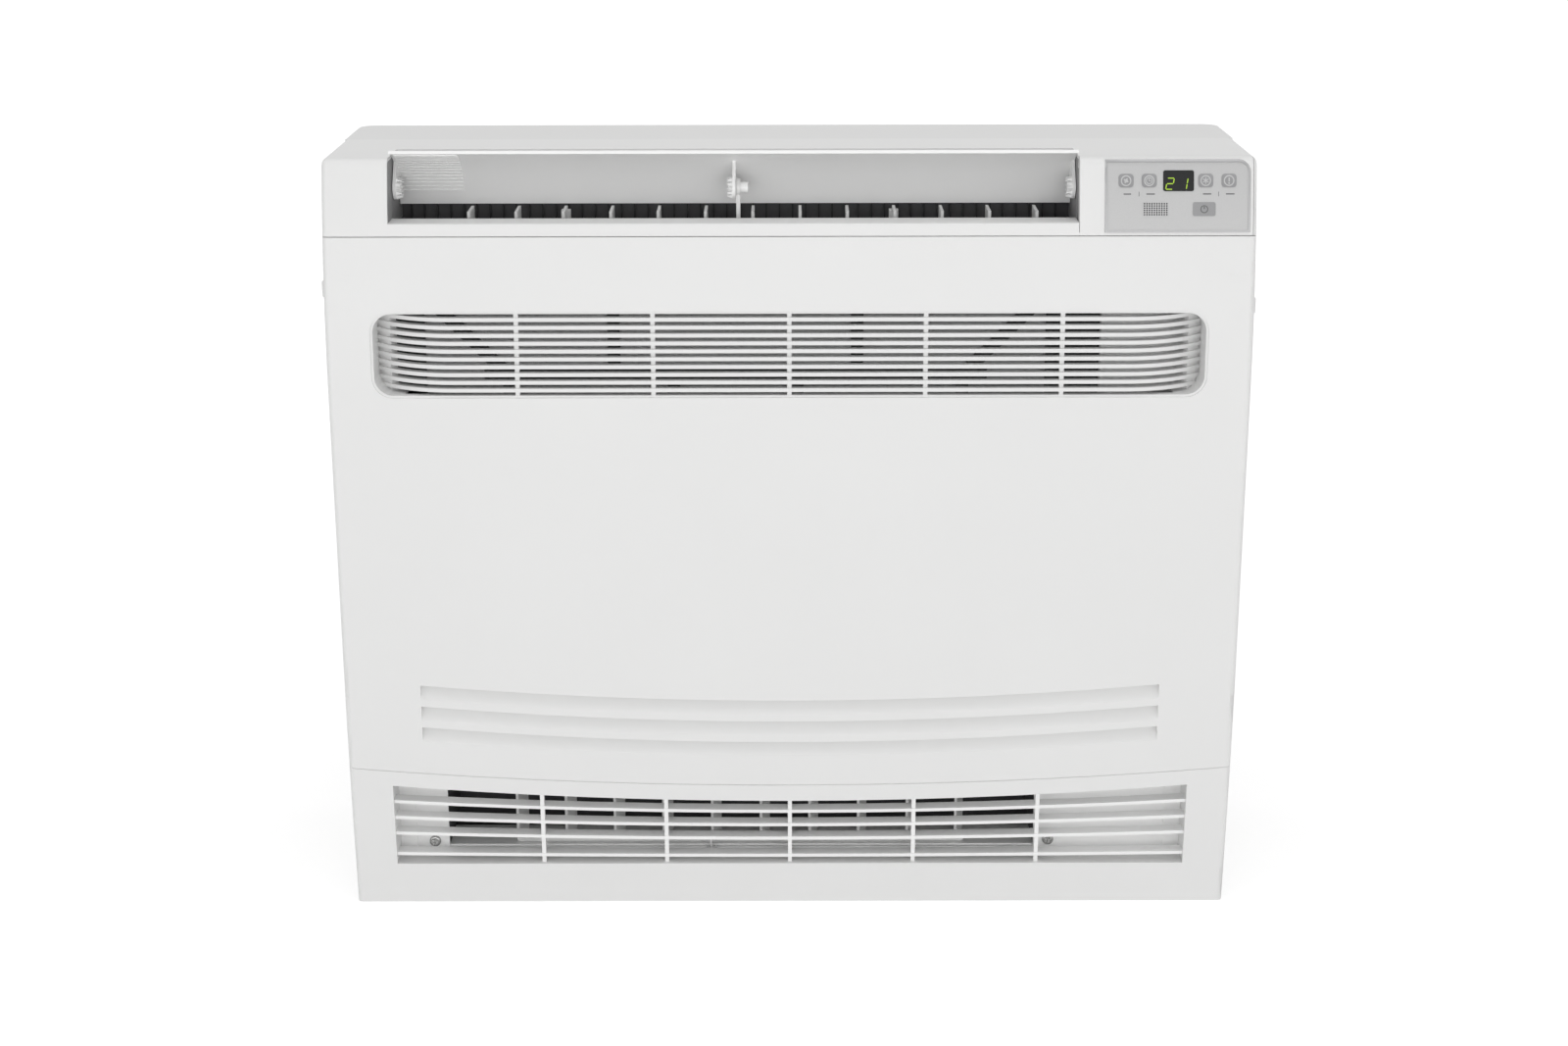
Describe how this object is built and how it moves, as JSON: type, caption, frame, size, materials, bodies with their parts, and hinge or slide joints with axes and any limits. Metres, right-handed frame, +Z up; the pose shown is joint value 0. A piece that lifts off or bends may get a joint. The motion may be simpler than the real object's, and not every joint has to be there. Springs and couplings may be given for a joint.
{
  "type": "floor console air conditioner",
  "caption": "White floor console air conditioner: hinged front panel with louvred intake, top outlet with a flap, curved lower outlet grille and a small control panel.",
  "frame": {"origin": "on the floor, under the middle of the cabinet's width and depth", "axes": "+Z up, +X to the right as seen from the front, +Y to the wall behind, so the front faces -Y"},
  "size_m": [0.705, 0.21, 0.6055],
  "materials": {
    "white_plastic": "fine moulded grain, satin",
    "chassis_plastic": "fine moulded grain, satin",
    "grille_plastic": "fine moulded grain, satin",
    "flap_plastic": "satin",
    "vane_plastic": "satin",
    "dark_duct": "matt",
    "black_plastic": "matt",
    "pale_duct": "matt",
    "filter_net": "fine open net",
    "coil_fins": "close bare fins",
    "silver_plate": "fine silver paint",
    "display_glass": "smoked, glossy",
    "grey_window": "satin",
    "steel_pin": "turned"
  },
  "bodies": {
    "cabinet": {"top_cover": "white_plastic", "control_housing": "white_plastic", "control_panel": "silver_plate", "display_window": "display_glass", "receiver_window": "grey_window", "power_button": "grey_window", "indicator_windows": "grey_window", "outlet_cheek_left": "pale_duct", "outlet_cheek_right": "pale_duct", "throat_duct": "dark_duct", "throat_fins": "black_plastic", "vane_bar": "dark_duct", "upper_vanes_left": "vane_plastic", "upper_vanes_right": "vane_plastic", "flap_support": "vane_plastic", "lower_cover": "white_plastic", "outlet_back_plate": "white_plastic", "outlet_grille": "grille_plastic", "lower_duct": "dark_duct", "duct_floor": "pale_duct", "lower_vanes": "vane_plastic", "vane_link_rod": "vane_plastic", "hinge_pin_left": "steel_pin", "hinge_pin_right": "steel_pin", "side_wall_left": "white_plastic", "side_wall_right": "white_plastic", "rear_chassis": "chassis_plastic", "base_pan": "chassis_plastic", "inner_frame": "black_plastic", "filter_mesh": "filter_net", "filter_frame": "black_plastic", "evaporator_coil": "coil_fins", "electric_box": "white_plastic"},
    "front_panel": {"front_panel": "white_plastic", "intake_grille": "grille_plastic"},
    "flap": {"outlet_flap": "flap_plastic"},
    "latch_left": {"latch_left": "white_plastic"},
    "latch_right": {"latch_right": "white_plastic"}
  },
  "joints": [
    {"name": "panel_hinge", "type": "hinge", "parent": "cabinet", "child": "front_panel", "pos_m": [0, -0.09, 0.088], "axis": [1, 0, 0], "range_deg": [0, 25]},
    {"name": "flap_hinge", "type": "hinge", "parent": "cabinet", "child": "flap", "pos_m": [0, -0.0555, 0.5743], "axis": [1, 0, 0], "range_deg": [0, 78]},
    {"name": "latch_left_slide", "type": "slide", "parent": "front_panel", "child": "latch_left", "axis": [0, 0, 1], "range_m": [-0.014, 0]},
    {"name": "latch_right_slide", "type": "slide", "parent": "front_panel", "child": "latch_right", "axis": [0, 0, 1], "range_m": [0, 0.014]}
  ]
}
